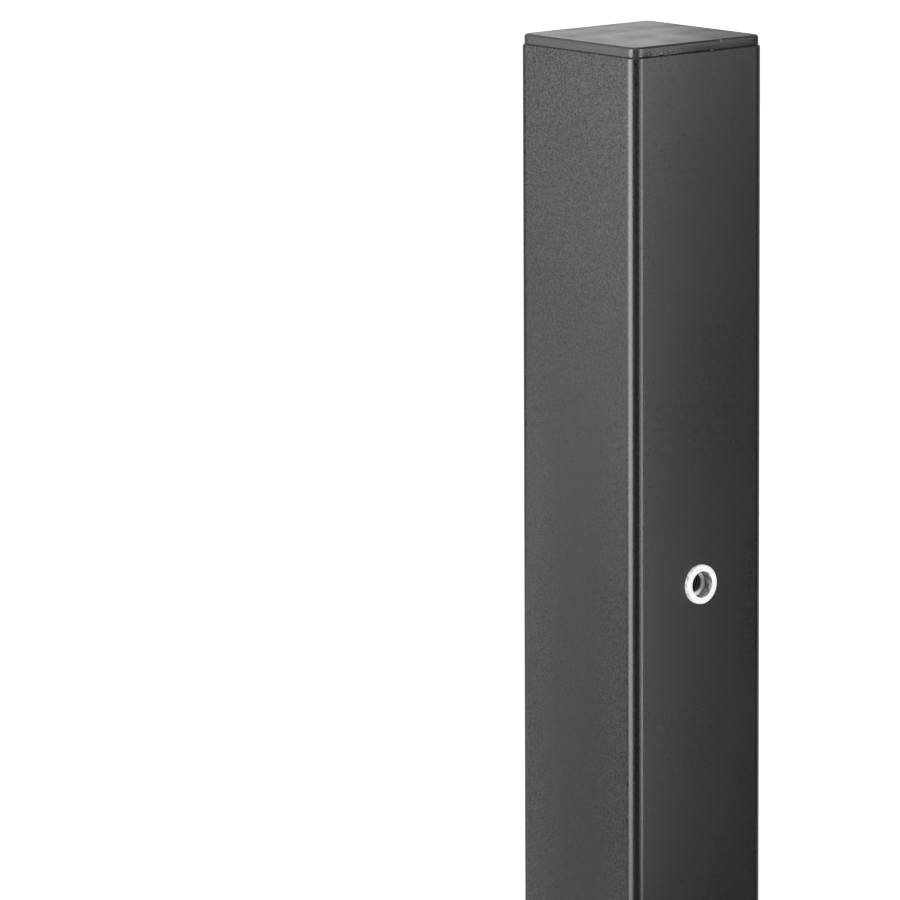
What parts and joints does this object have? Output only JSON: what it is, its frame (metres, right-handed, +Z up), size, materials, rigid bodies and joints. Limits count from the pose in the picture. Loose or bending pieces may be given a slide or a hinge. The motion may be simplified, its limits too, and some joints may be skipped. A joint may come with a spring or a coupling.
{
  "type": "fence post",
  "caption": "Square hollow steel fence post, powder coated, with a push-in plastic end cap on top and a set threaded rivet nut in its front face for a bracket.",
  "frame": {"origin": "centre of the square-cut foot, on the post's axis", "axes": "+Z up the post; -Y is the front, the face that carries the rivet nut; +X to the right of that face as seen from the front"},
  "size_m": [0.06, 0.0615, 1.5036],
  "materials": {
    "coated_steel": "fine-textured matt powder coat, anthracite grey",
    "cap_plastic": "moulded polyethylene, satin, anthracite grey, faint sink marks over its ribs",
    "zinc_plated_steel": "bright zinc plate on turned steel"
  },
  "bodies": {
    "root": {"post_tube": "coated_steel", "end_cap": "cap_plastic", "rivet_nut": "zinc_plated_steel"}
  },
  "joints": []
}
